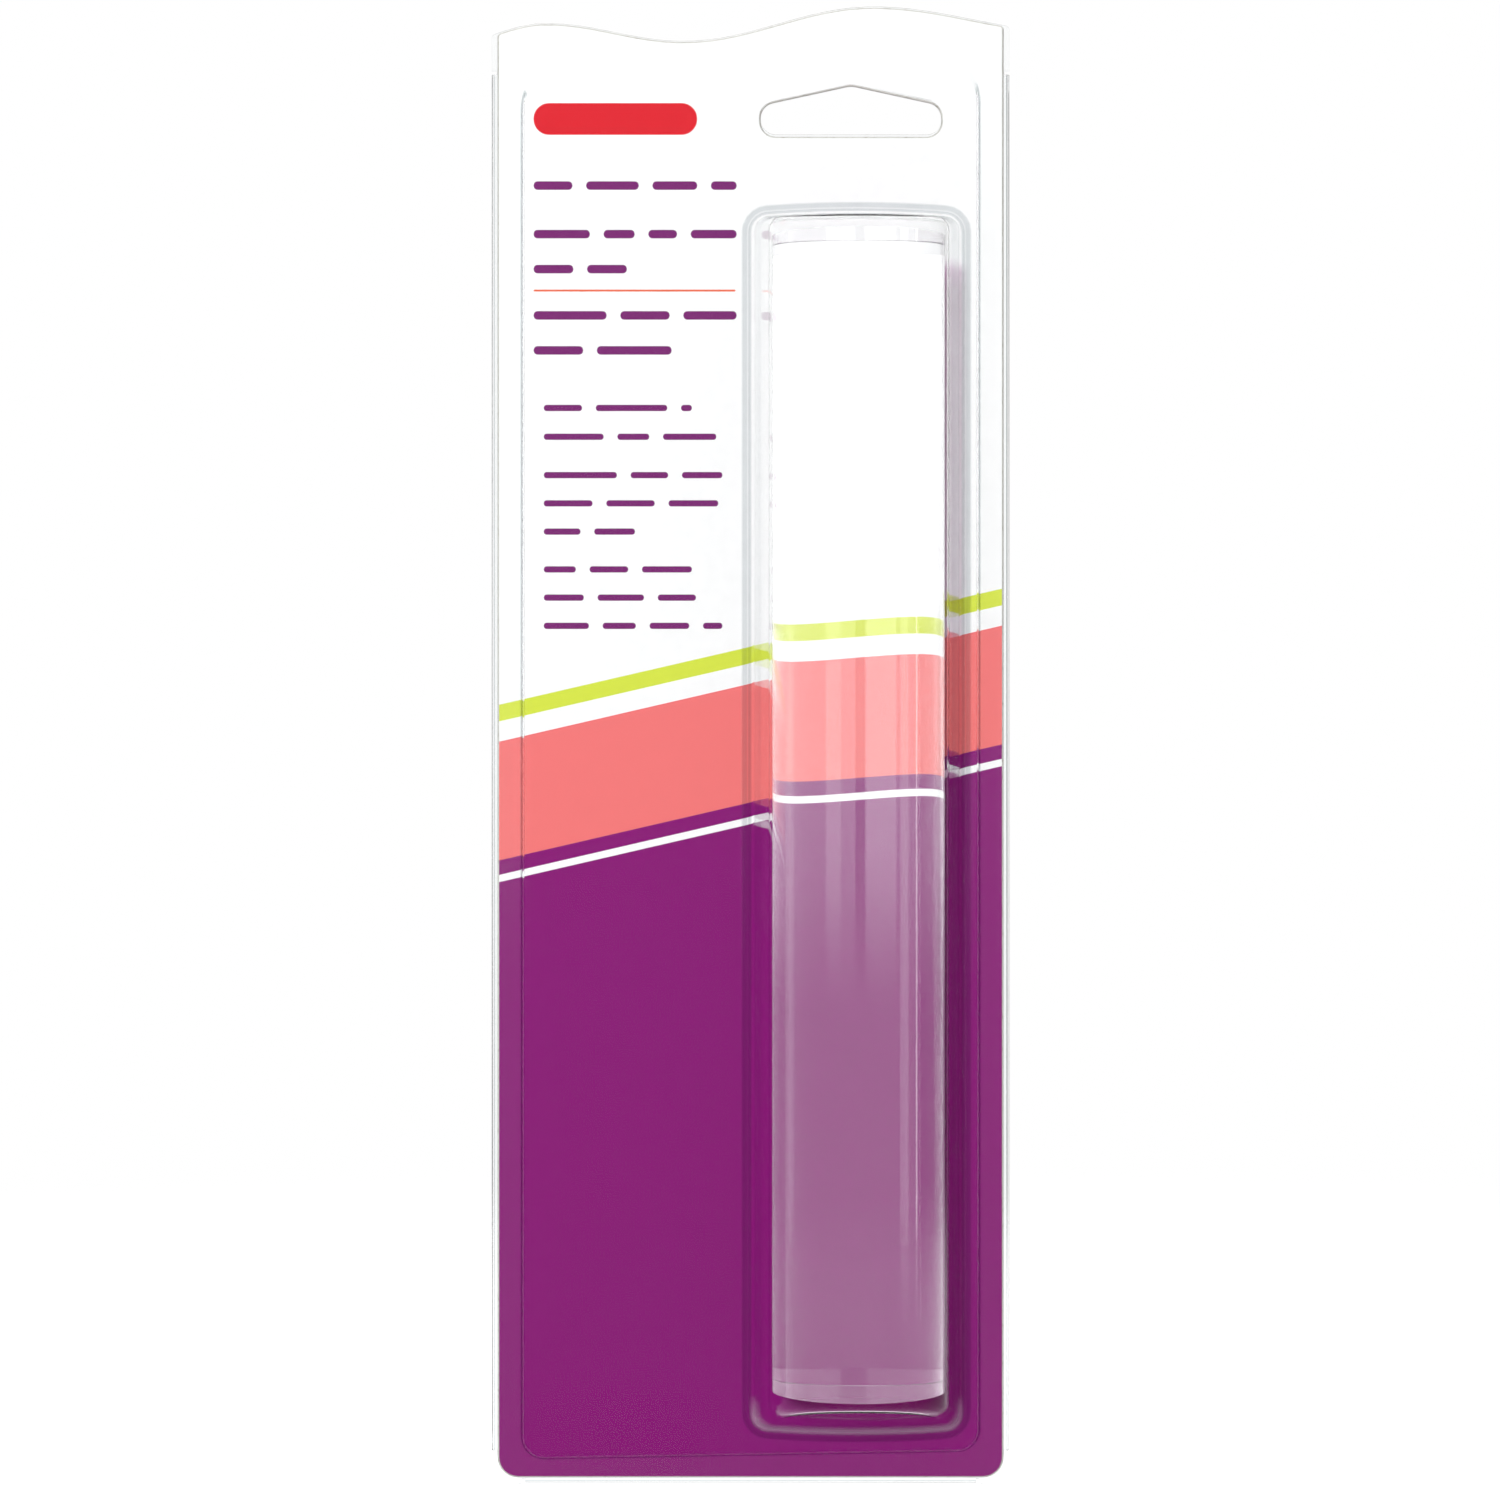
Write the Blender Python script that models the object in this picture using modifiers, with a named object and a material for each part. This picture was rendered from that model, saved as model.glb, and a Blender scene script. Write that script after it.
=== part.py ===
"""An acrylic clay roller in its hanging pack, in metres, +Z up.

The pack hangs upright, as on a peg in a shop, with its front looking along -Y. The origin is
where the peg bears: at the top of the hang hole, on the front face of the card. A height is
measured forwards from that face, so a point at height h has y = -h.

Three pieces make the pack: the solid acrylic roller, the clear thermoformed shell whose edges
are turned behind the card, and the printed card, which slides up and out of those edges.
"""

import math

import bmesh
import bpy
from mathutils import Matrix, Vector

# Gap between pieces that touch
SEAT_GAP = 0.0003

# Roller
ROLLER_DIAMETER = 0.0300
ROLLER_LENGTH = 0.2000
ROLLER_EDGE_BREAK = 0.0005
ROLLER_SIDES = 96
ROLLER_EDGE_STEPS = 3

# Card
CARD_THICKNESS = 0.0006
CARD_FOOT_CORNER_RADIUS = 0.0037
CARD_TOP_CORNER_RADIUS = 0.0008

# Wavy top edge: the crests and troughs, across the card and down from its highest crest
WAVE_DEPTH = 0.0061
WAVE_TURNS_SHARES = ((-0.103, 1.11), (0.095, 0.48), (0.367, 1.0), (0.741, 0.0), (1.136, 0.74))
WAVE_STEPS = 36

# Hang hole
HOLE_WIDTH = 0.0320
HOLE_HEIGHT = 0.0089
HOLE_SHOULDER_DROP = 0.0034
HOLE_END_RADIUS = 0.0027
HOLE_APEX_RADIUS = 0.0040
HOLE_BELOW_CREST = 0.0140
HOLE_ABOVE_ROLLER = 0.0197

# Clear shell, with its raised panel
FILM = 0.0004
PANEL_RISE = 0.0015
PANEL_ABOVE_HOLE = 0.0016
PANEL_LEFT_OF_DOME = 0.0377
PANEL_RIGHT_OF_DOME = 0.0003
PANEL_BELOW_DOME = 0.0005
PANEL_FOOT_FALL = 0.0014
PANEL_SIDE_MARGIN = 0.0053
PANEL_FOOT_MARGIN = 0.0059
PANEL_CORNER_RADIUS = 0.0030
PANEL_TOP_RUNOUT = 0.0060
PANEL_EDGE_RADIUS = 0.0005
PANEL_DRAFT = math.radians(20)

# Dome over the roller
DOME_BEYOND_HOLE = 0.0009
DOME_SIDE_PLAY = 0.0002
DOME_TOP_ROOM = 0.0015
DOME_SIDE_DRAFT = math.radians(10)
DOME_TOP_DRAFT = math.radians(8)
DOME_FOOT_DRAFT = math.radians(16.5)
DOME_END_BOW = 0.0010
DOME_RIM_RADIUS = 0.0020
DOME_ROOT_RADIUS = 0.0025
DOME_ARC_STEPS = 40
DOME_RIM_STEPS = 5

# Edges of the shell, turned behind the card
TURN_WIDTH = 0.0060
TURN_MITRE_SHARE = 0.8
TURN_BELOW_CREST = 0.0120
TURN_FROM_CORNER = 0.0012
TURN_SLIT = 0.0006
TURN_STEPS = 6

# Steps for rounded corners and fillets
CORNER_STEP = math.radians(12)
FILLET_STEPS = 4
SHARP_ANGLE = math.radians(30)

# How near two points lie that count as one
NEAR = 0.00002

# Roller, as it rests in the dome
ROLLER_RADIUS = ROLLER_DIAMETER / 2
ROLLER_AXIS_HEIGHT = SEAT_GAP + ROLLER_RADIUS
ROLLER_TOP = -HOLE_HEIGHT - HOLE_ABOVE_ROLLER
ROLLER_FOOT = ROLLER_TOP - ROLLER_LENGTH

# The film's inner face, in front of the card
FLANGE_HEIGHT = SEAT_GAP
PANEL_HEIGHT = FLANGE_HEIGHT + PANEL_RISE
TURN_RADIUS = SEAT_GAP + CARD_THICKNESS / 2
RIM_REACH = TURN_RADIUS + FILM

# The dome's inner face. The roller's lower edge rests in its rounded rim
DOME_RADIUS = ROLLER_RADIUS + SEAT_GAP + DOME_SIDE_PLAY
DOME_FRONT = ROLLER_AXIS_HEIGHT + DOME_RADIUS
RIM_SEAT = DOME_RIM_RADIUS - ROLLER_EDGE_BREAK
DOME_FOOT_ROOM = RIM_SEAT - math.sqrt(
    (RIM_SEAT - SEAT_GAP) ** 2 - (RIM_SEAT - SEAT_GAP - DOME_SIDE_PLAY) ** 2
)
ROOT_RADIUS = DOME_ROOT_RADIUS + FILM
ROOT_TOP = PANEL_HEIGHT + ROOT_RADIUS * (1 - math.sin(DOME_SIDE_DRAFT))
ROOT_REACH = ROOT_RADIUS * math.cos(DOME_SIDE_DRAFT)
DOME_SHOULDER = ROLLER_AXIS_HEIGHT + DOME_RADIUS * math.sin(DOME_SIDE_DRAFT)
DOME_HALF_WIDTH = (
    DOME_RADIUS * math.cos(DOME_SIDE_DRAFT)
    + (DOME_SHOULDER - ROOT_TOP) * math.tan(DOME_SIDE_DRAFT)
    + ROOT_REACH
)
DOME_FOOT = (
    ROLLER_FOOT - DOME_FOOT_ROOM - (DOME_FRONT - ROOT_TOP) * math.tan(DOME_FOOT_DRAFT) - ROOT_REACH
)

# The panel's top outline and the card's, set round the dome and the hang hole
PANEL_LEFT = DOME_BEYOND_HOLE - DOME_HALF_WIDTH - PANEL_LEFT_OF_DOME
PANEL_RIGHT = DOME_BEYOND_HOLE + DOME_HALF_WIDTH + PANEL_RIGHT_OF_DOME
PANEL_FOOT = DOME_FOOT - PANEL_BELOW_DOME
CARD_LEFT = PANEL_LEFT - PANEL_SIDE_MARGIN
CARD_RIGHT = PANEL_RIGHT + PANEL_SIDE_MARGIN
CARD_CREST = HOLE_BELOW_CREST
CARD_FOOT = PANEL_FOOT - PANEL_FOOT_MARGIN


def clear_scene():
    """Removes every object that the scene holds."""
    for thing in list(bpy.data.objects):
        bpy.data.objects.remove(thing, do_unlink=True)


def add_material(name, colour, roughness, transmission=0.0, ior=1.5):
    """A Principled material, whose colour is given in linear light."""
    material = bpy.data.materials.new(name)
    material.use_nodes = True
    shader = material.node_tree.nodes["Principled BSDF"]
    shader.inputs["Base Color"].default_value = (*colour, 1)
    shader.inputs["Roughness"].default_value = roughness
    shader.inputs["Metallic"].default_value = 0
    shader.inputs["Transmission Weight"].default_value = transmission
    shader.inputs["IOR"].default_value = ior
    return material


def add_object(name, mesh, collection, material):
    """Links a smooth-shaded object that holds the mesh."""
    mesh.shade_smooth()
    mesh.set_sharp_from_angle(angle=SHARP_ANGLE)
    mesh.materials.clear()
    mesh.materials.append(material)
    thing = bpy.data.objects.new(name, mesh)
    collection.objects.link(thing)
    return thing


def wave(x, lowered=0.0):
    """Height of the wavy top edge at x, as half cosines between its crests and troughs."""
    turns = [
        (CARD_LEFT + across * (CARD_RIGHT - CARD_LEFT), CARD_CREST - down * WAVE_DEPTH)
        for across, down in WAVE_TURNS_SHARES
    ]
    for (x_from, z_from), (x_to, z_to) in zip(turns, turns[1:]):
        if x <= x_to:
            break
    way = (x - x_from) / (x_to - x_from)
    return z_from + (z_to - z_from) * (1 - math.cos(math.pi * way)) / 2 - lowered


def wave_corners(x_from, x_to, end_radius, lowered=0.0):
    """Corners along the wavy edge, from x_from to x_to, of which the two ends are rounded."""
    corners = []
    for step in range(WAVE_STEPS + 1):
        x = x_from + (x_to - x_from) * step / WAVE_STEPS
        radius = end_radius if step in (0, WAVE_STEPS) else 0
        corners.append((x, wave(x, lowered), radius))
    return corners


def rounded_outline(corners):
    """Points of a closed outline, from corners given as (x, z, radius)."""
    points = []
    for index, (x, z, radius) in enumerate(corners):
        corner = Vector((x, z))
        if radius == 0:
            points.append(corner)
            continue
        back = (Vector(corners[index - 1][:2]) - corner).normalized()
        ahead = (Vector(corners[(index + 1) % len(corners)][:2]) - corner).normalized()
        half = back.angle(ahead) / 2
        centre = corner + (back + ahead).normalized() * (radius / math.sin(half))
        spoke = corner + back * (radius / math.tan(half)) - centre
        sweep = math.copysign(math.pi - 2 * half, ahead.cross(back))
        steps = max(1, math.ceil(abs(sweep) / CORNER_STEP))
        for step in range(steps + 1):
            points.append(centre + Matrix.Rotation(sweep * step / steps, 2) @ spoke)
    return points


def mitres(points):
    """For each point of an anticlockwise outline, the move that widens the outline by 1."""
    moves = []
    for index, point in enumerate(points):
        back = (point - points[index - 1]).normalized()
        ahead = (points[(index + 1) % len(points)] - point).normalized()
        back_normal = Vector((back.y, -back.x))
        ahead_normal = Vector((ahead.y, -ahead.x))
        moves.append((back_normal + ahead_normal) / (1 + back_normal.dot(ahead_normal)))
    return moves


def top_runout(moves, widest, runout):
    """Stretches upward moves, so that an edge of the widest step ends in a soft run-out at its top."""
    return [Vector((move.x, move.y * (runout / widest if move.y > 0 else 1))) for move in moves]


def card_outline():
    """The card's outline, anticlockwise from its lower left corner."""
    return rounded_outline(
        [
            (CARD_LEFT, CARD_FOOT, CARD_FOOT_CORNER_RADIUS),
            (CARD_RIGHT, CARD_FOOT, CARD_FOOT_CORNER_RADIUS),
            *wave_corners(CARD_RIGHT, CARD_LEFT, CARD_TOP_CORNER_RADIUS),
        ]
    )


def hole_outline():
    """The hang hole, a low gable over a flat foot. The rounded gable's top is at the origin."""
    half = HOLE_WIDTH / 2
    slope = math.atan2(HOLE_SHOULDER_DROP, half)
    gable = HOLE_APEX_RADIUS * (1 / math.cos(slope) - 1)
    return rounded_outline(
        [
            (-half, -HOLE_HEIGHT, HOLE_END_RADIUS),
            (half, -HOLE_HEIGHT, HOLE_END_RADIUS),
            (half, -HOLE_SHOULDER_DROP, HOLE_END_RADIUS),
            (0, gable, HOLE_APEX_RADIUS),
            (-half, -HOLE_SHOULDER_DROP, HOLE_END_RADIUS),
        ]
    )


def panel_outline():
    """The raised panel's outline at its top, whose upper edge follows the card's wave."""
    below_crest = HOLE_BELOW_CREST - PANEL_ABOVE_HOLE
    top = wave_corners(PANEL_RIGHT, PANEL_LEFT, PANEL_CORNER_RADIUS, below_crest)
    inner = [
        (x, z, radius)
        for x, z, radius in top[1:-1]
        if PANEL_LEFT + PANEL_CORNER_RADIUS < x < PANEL_RIGHT - PANEL_CORNER_RADIUS
    ]
    return rounded_outline(
        [
            (PANEL_LEFT, PANEL_FOOT - PANEL_FOOT_FALL, PANEL_CORNER_RADIUS),
            (PANEL_RIGHT, PANEL_FOOT, PANEL_CORNER_RADIUS),
            top[0],
            *inner,
            top[-1],
        ]
    )


def flange_outline():
    """The film's flat outline, anticlockwise, and the three edges on it that are turned.

    A turned edge starts on the card's edge. Past its slits the film runs flat to the rim.
    """
    left, right, foot = CARD_LEFT, CARD_RIGHT, CARD_FOOT
    setback = CARD_FOOT_CORNER_RADIUS + TURN_FROM_CORNER
    side_foot = foot + setback
    side_top = CARD_CREST - TURN_BELOW_CREST
    foot_left = left + setback
    foot_right = right - setback
    rim_corner = CARD_FOOT_CORNER_RADIUS + RIM_REACH
    outline = rounded_outline(
        [
            (foot_left, foot, 0),
            (foot_right, foot, 0),
            (foot_right + TURN_SLIT, foot, 0),
            (foot_right + TURN_SLIT, foot - RIM_REACH, 0),
            (right + RIM_REACH, foot - RIM_REACH, rim_corner),
            (right + RIM_REACH, side_foot - TURN_SLIT, 0),
            (right, side_foot - TURN_SLIT, 0),
            (right, side_foot, 0),
            (right, side_top, 0),
            (right, side_top + TURN_SLIT, 0),
            (right + RIM_REACH, side_top + TURN_SLIT, 0),
            *wave_corners(right + RIM_REACH, left - RIM_REACH, CARD_TOP_CORNER_RADIUS),
            (left - RIM_REACH, side_top + TURN_SLIT, 0),
            (left, side_top + TURN_SLIT, 0),
            (left, side_top, 0),
            (left, side_foot, 0),
            (left, side_foot - TURN_SLIT, 0),
            (left - RIM_REACH, side_foot - TURN_SLIT, 0),
            (left - RIM_REACH, foot - RIM_REACH, rim_corner),
            (foot_left - TURN_SLIT, foot - RIM_REACH, 0),
            (foot_left - TURN_SLIT, foot, 0),
        ]
    )
    turned = [
        (Vector((foot_left, foot)), Vector((foot_right, foot))),
        (Vector((right, side_foot)), Vector((right, side_top))),
        (Vector((left, side_top)), Vector((left, side_foot))),
    ]
    return outline, turned


def add_ring(sheet, points, height):
    """A closed ring of edges at a height in front of the card."""
    verts = [sheet.verts.new((x, -height, z)) for x, z in points]
    return [sheet.edges.new(pair) for pair in zip(verts, verts[1:] + verts[:1])]


def add_steps(sheet, edges, points, moves, height, steps):
    """Lofts from a ring through steps given as (how far out, how far down)."""
    for out, down in steps:
        widened = [point + move * out for point, move in zip(points, moves)]
        ring = add_ring(sheet, widened, height - down)
        bmesh.ops.bridge_loops(sheet, edges=edges + ring)
        edges = ring
    return edges


def hollow_fillet(radius, draft):
    """Steps from a drafted wall round into the flat below it."""
    steps = []
    for step in range(1, FILLET_STEPS + 1):
        lean = draft + (math.pi / 2 - draft) * step / FILLET_STEPS
        steps.append(
            (radius * (math.cos(draft) - math.cos(lean)), radius * (math.sin(lean) - math.sin(draft)))
        )
    return steps


def stepped_edge(rise, radius, draft):
    """Steps from the panel's top over its edge, down the wall and into the flange."""
    hollow = [(0, 0), *hollow_fillet(radius, draft)]
    round_out, round_down = hollow[-1]
    wall_down = rise - 2 * round_down
    wall_foot = Vector((round_out + wall_down * math.tan(draft), round_down + wall_down))
    over = [(round_out - out, round_down - down) for out, down in reversed(hollow[:-1])]
    return over + [tuple(wall_foot + Vector(step)) for step in hollow]


def dome_profile():
    """The dome's section as (x, y) points, a half round on two drafted sides."""
    axis = Vector((DOME_BEYOND_HOLE, -ROLLER_AXIS_HEIGHT))
    points = []
    for step in range(DOME_ARC_STEPS + 1):
        angle = DOME_SIDE_DRAFT + (math.pi - 2 * DOME_SIDE_DRAFT) * step / DOME_ARC_STEPS
        points.append(axis + DOME_RADIUS * Vector((math.cos(angle), -math.sin(angle))))
    wall = math.tan(DOME_SIDE_DRAFT) * Vector((-points[-1].y, 0)) + Vector((0, -points[-1].y))
    right_foot = points[0] + wall
    left_foot = points[-1] + Vector((-wall.x, wall.y))
    return [right_foot, *points, left_foot]


def lean_dome_ends(sheet, top, foot):
    """Leans the dome's end walls outwards, and draws their corners back along a bow."""
    for vert in sheet.verts:
        at_top = vert.co.z > (top + foot) / 2
        lean = math.tan(DOME_TOP_DRAFT if at_top else DOME_FOOT_DRAFT) * (DOME_FRONT + vert.co.y)
        bow = DOME_END_BOW * ((vert.co.x - DOME_BEYOND_HOLE) / DOME_HALF_WIDTH) ** 2
        vert.co.z += (lean - bow) if at_top else (bow - lean)


def cut_end_in_strips(sheet, z):
    """Cuts the flat end at z into upright strips, one at each point of its outline."""
    across = sorted(vert.co.x for vert in sheet.verts if abs(vert.co.z - z) < NEAR)
    for x in across:
        faces = [face for face in sheet.faces if all(abs(vert.co.z - z) < NEAR for vert in face.verts)]
        edges = {edge for face in faces for edge in face.edges}
        verts = {vert for face in faces for vert in face.verts}
        bmesh.ops.bisect_plane(
            sheet,
            geom=[*faces, *edges, *verts],
            dist=NEAR,
            plane_co=(x, 0, 0),
            plane_no=(1, 0, 0),
        )


def open_loop(sheet):
    """The dome's open foot, as edges and as anticlockwise (x, z) points."""
    edges = [edge for edge in sheet.edges if edge.is_boundary]
    start = edges[0].verts[0]
    verts, edge = [start], edges[0]
    while True:
        vert = edge.other_vert(verts[-1])
        if vert is start:
            break
        verts.append(vert)
        edge = next(other for other in vert.link_edges if other.is_boundary and other is not edge)
    points = [Vector((vert.co.x, vert.co.z)) for vert in verts]
    area = sum(a.cross(b) for a, b in zip(points, points[1:] + points[:1]))
    return edges, points if area > 0 else points[::-1]


def draw_dome(sheet):
    """The dome's inner face, and the flat ring where it runs out into the panel."""
    top = ROLLER_TOP + DOME_TOP_ROOM
    foot = ROLLER_FOOT - DOME_FOOT_ROOM
    profile = sheet.faces.new([sheet.verts.new((x, y, foot)) for x, y in dome_profile()])
    raised = bmesh.ops.extrude_face_region(sheet, geom=[profile], use_keep_orig=True)
    lifted = [item for item in raised["geom"] if isinstance(item, bmesh.types.BMVert)]
    bmesh.ops.translate(sheet, verts=lifted, vec=(0, 0, top - foot))
    rims = [edge for edge in sheet.edges if edge.verts[0].co.z == edge.verts[1].co.z]
    bmesh.ops.bevel(
        sheet,
        geom=rims,
        offset=DOME_RIM_RADIUS,
        offset_type="OFFSET",
        affect="EDGES",
        segments=DOME_RIM_STEPS,
        profile=0.5,
        clamp_overlap=True,
    )
    cut_end_in_strips(sheet, top)
    cut_end_in_strips(sheet, foot)
    lean_dome_ends(sheet, top, foot)
    bmesh.ops.bisect_plane(
        sheet,
        geom=[*sheet.verts, *sheet.edges, *sheet.faces],
        dist=NEAR,
        plane_co=(0, -ROOT_TOP, 0),
        plane_no=(0, 1, 0),
        clear_outer=True,
    )
    edges, points = open_loop(sheet)
    root = hollow_fillet(ROOT_RADIUS, DOME_SIDE_DRAFT)
    return add_steps(sheet, edges, points, mitres(points), ROOT_TOP, root)


def turn_edge(sheet, start, end):
    """Turns one straight edge of the film behind the card, and runs it inwards as a strip."""
    along = Vector((end.x - start.x, 0, end.y - start.y)).normalized()
    inwards = Vector((-along.z, 0, along.x))
    points = [Vector((point.x, -FLANGE_HEIGHT, point.y)) for point in (start, end)]
    edge = next(
        edge
        for edge in sheet.edges
        if all(min((vert.co - point).length for point in points) < NEAR for vert in edge.verts)
    )
    turned = bmesh.ops.spin(
        sheet,
        geom=[edge],
        cent=points[0] + Vector((0, TURN_RADIUS, 0)),
        axis=along,
        angle=math.pi,
        steps=TURN_STEPS,
        use_duplicate=False,
    )
    last = [item for item in turned["geom_last"] if isinstance(item, bmesh.types.BMEdge)]
    strip = bmesh.ops.extrude_edge_only(sheet, edges=last)
    for vert in [item for item in strip["geom"] if isinstance(item, bmesh.types.BMVert)]:
        near_start = (vert.co - points[0]).dot(along) < (points[1] - points[0]).dot(along) / 2
        mitre = TURN_MITRE_SHARE * TURN_WIDTH
        vert.co += inwards * TURN_WIDTH + along * (mitre if near_start else -mitre)


def build_blister_shell(collection):
    """The thermoformed shell: its inner face as one sheet, thickened outwards."""
    sheet = bmesh.new()
    dome_ring = draw_dome(sheet)
    panel = panel_outline()
    panel_ring = add_ring(sheet, panel, PANEL_HEIGHT)
    hole_ring = add_ring(sheet, hole_outline(), PANEL_HEIGHT)
    bmesh.ops.triangle_fill(sheet, use_beauty=True, edges=dome_ring + panel_ring + hole_ring)
    steps = stepped_edge(PANEL_RISE, PANEL_EDGE_RADIUS, PANEL_DRAFT)
    moves = top_runout(mitres(panel), steps[-1][0], PANEL_TOP_RUNOUT)
    step_ring = add_steps(sheet, panel_ring, panel, moves, PANEL_HEIGHT, steps)
    outline, turned = flange_outline()
    flange_ring = add_ring(sheet, outline, FLANGE_HEIGHT)
    bmesh.ops.triangle_fill(sheet, use_beauty=True, edges=step_ring + flange_ring)
    for start, end in turned:
        turn_edge(sheet, start, end)
    bmesh.ops.recalc_face_normals(sheet, faces=sheet.faces)
    flat = max(sheet.faces, key=lambda face: face.calc_area() * abs(face.normal.y))
    if flat.normal.y > 0:
        bmesh.ops.reverse_faces(sheet, faces=sheet.faces)
    mesh = bpy.data.meshes.new("blister_shell")
    sheet.to_mesh(mesh)
    sheet.free()
    clear_film = add_material("clear_film", (0.93, 0.95, 0.96), 0.05, transmission=1.0, ior=1.57)
    shell = add_object("blister_shell", mesh, collection, clear_film)
    wall = shell.modifiers.new("film", "SOLIDIFY")
    wall.thickness = FILM
    wall.offset = 1
    wall.use_even_offset = True
    return shell


def build_backing_card(collection):
    """The printed card, a flat outline with the hang hole in it."""
    outline = bpy.data.curves.new("backing_card", "CURVE")
    outline.dimensions = "2D"
    outline.fill_mode = "BOTH"
    outline.extrude = CARD_THICKNESS / 2
    for points in (card_outline(), hole_outline()):
        spline = outline.splines.new("POLY")
        spline.points.add(len(points) - 1)
        for spot, point in zip(spline.points, points):
            spot.co = (point.x, point.y, 0, 1)
        spline.use_cyclic_u = True
    guide = bpy.data.objects.new("card_outline", outline)
    collection.objects.link(guide)
    guide.location = (0, CARD_THICKNESS / 2, 0)
    guide.rotation_euler = (math.pi / 2, 0, 0)
    bpy.context.view_layer.update()
    placed = guide.evaluated_get(bpy.context.evaluated_depsgraph_get())
    mesh = bpy.data.meshes.new_from_object(placed)
    matrix = guide.matrix_world.copy()
    bpy.data.objects.remove(guide, do_unlink=True)
    card = bmesh.new()
    card.from_mesh(mesh)
    bmesh.ops.remove_doubles(card, verts=card.verts, dist=NEAR)
    card.to_mesh(mesh)
    card.free()
    printed_board = add_material("printed_board", (0.24, 0.016, 0.18), 0.45)
    thing = add_object("backing_card", mesh, collection, printed_board)
    thing.matrix_world = matrix
    return thing


def build_roller(collection):
    """The solid rod, with its end edges broken. Its origin is on the axis that it rolls about."""
    bpy.ops.mesh.primitive_cylinder_add(
        vertices=ROLLER_SIDES,
        radius=ROLLER_RADIUS,
        depth=ROLLER_LENGTH,
        location=(DOME_BEYOND_HOLE, -ROLLER_AXIS_HEIGHT, (ROLLER_TOP + ROLLER_FOOT) / 2),
    )
    roller = bpy.context.object
    roller.name = "roller"
    for holder in roller.users_collection:
        holder.objects.unlink(roller)
    collection.objects.link(roller)
    roller.data.shade_smooth()
    roller.data.set_sharp_from_angle(angle=SHARP_ANGLE)
    roller.data.materials.append(add_material("cast_acrylic", (1, 1, 1), 0.02, transmission=1.0, ior=1.49))
    edge = roller.modifiers.new("edge_break", "BEVEL")
    edge.width = ROLLER_EDGE_BREAK
    edge.segments = ROLLER_EDGE_STEPS
    edge.limit_method = "ANGLE"
    edge.angle_limit = SHARP_ANGLE
    return roller


def main():
    """Builds the three pieces in a collection of their own."""
    clear_scene()
    collection = bpy.data.collections.new("acrylic_clay_roller")
    bpy.context.scene.collection.children.link(collection)
    build_backing_card(collection)
    build_blister_shell(collection)
    build_roller(collection)


if __name__ == "__main__":
    main()
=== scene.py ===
"""Dresses a clay roller in its hanging pack: the clear rod, the clear shell and the printed card.

The pack's front looks along -Y and +Z is up. The origin is the top of the hang hole, on the front
face of the card. Lengths are in metres, and a height is measured forwards from that face.
"""

import math
import random

import bmesh
import bpy
from mathutils import Matrix, Vector


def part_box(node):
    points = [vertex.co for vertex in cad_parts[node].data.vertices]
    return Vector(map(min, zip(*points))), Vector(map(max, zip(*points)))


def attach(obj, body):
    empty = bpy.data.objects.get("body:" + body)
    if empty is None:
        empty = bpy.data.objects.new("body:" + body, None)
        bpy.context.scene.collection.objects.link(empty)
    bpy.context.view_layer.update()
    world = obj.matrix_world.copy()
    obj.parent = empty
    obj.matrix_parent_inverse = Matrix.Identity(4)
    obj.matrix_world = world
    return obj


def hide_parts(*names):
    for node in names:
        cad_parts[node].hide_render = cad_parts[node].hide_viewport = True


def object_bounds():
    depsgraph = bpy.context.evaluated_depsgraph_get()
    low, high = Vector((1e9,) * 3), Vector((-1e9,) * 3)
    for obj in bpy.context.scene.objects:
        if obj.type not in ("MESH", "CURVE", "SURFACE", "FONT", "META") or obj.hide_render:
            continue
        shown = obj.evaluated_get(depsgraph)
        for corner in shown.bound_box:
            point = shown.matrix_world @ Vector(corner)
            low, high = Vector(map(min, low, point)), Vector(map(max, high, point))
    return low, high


bl_info = {
    "name": "Clay Roller Pack",
    "version": (1, 0, 0),
    "blender": (4, 5, 0),
    "location": "3D View > Sidebar > Roller Pack",
    "description": "Dresses a clay roller in its hanging pack, and sets its stage",
    "category": "Object",
}

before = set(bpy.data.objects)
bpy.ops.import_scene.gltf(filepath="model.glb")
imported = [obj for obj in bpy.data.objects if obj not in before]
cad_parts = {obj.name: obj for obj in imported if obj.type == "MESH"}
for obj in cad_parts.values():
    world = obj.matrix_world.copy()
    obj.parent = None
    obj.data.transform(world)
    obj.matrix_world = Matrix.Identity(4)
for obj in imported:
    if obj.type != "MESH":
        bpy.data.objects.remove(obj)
CAD_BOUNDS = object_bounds()
MM = 0.001

# Places of a colour Mix node's sockets
FIRST_COLOUR = 6
SECOND_COLOUR = 7
MIXED_COLOUR = 2

# Cast acrylic: how clear its side and ends are, how rough its ends are, and where the ends start
SIDE_CLEARNESS = 0.975
END_CLEARNESS = 0.65
END_ROUGHNESS = 0.15
END_FACING = 0.7
END_DEPTH = 1 * MM

# Formed film: where its painted root shade and its blush start and end, as pairs of heights above the
# panel's front face
ROOT_SHADE_FROM = (0.03 * MM, 0.10 * MM)
ROOT_SHADE_TO = (0.30 * MM, 0.70 * MM)
BLUSH_FROM = (0.5 * MM, 1.5 * MM)
BLUSH_TO = (3 * MM, 9 * MM)

# The same for the blush, as heights above the dome's foot
FOOT_TO = (3 * MM, 9 * MM)

# Formed film: how deep below the panel's front face its walls and its margin start
WALL_DEPTH = 0.1 * MM
MARGIN_DEPTH = 1 * MM

# Formed film: how milky it gets, which slopes count as steep and take the painted edge shade, and which
# count as dull
MOST_BLUSH = 0.35
MARGIN_MILK = 0.008
STEEP_FACING = 0.5
DULL_FACING = (0.9, 0.6)
DULL_ROUGHNESS = 0.05

# Board, by a normal's Y: less than this is printed, less than this is flat, more than this is an edge
FRONT_FACING = -0.93
FLAT_FACING = -0.9
EDGE_FACING = -0.1

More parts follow.
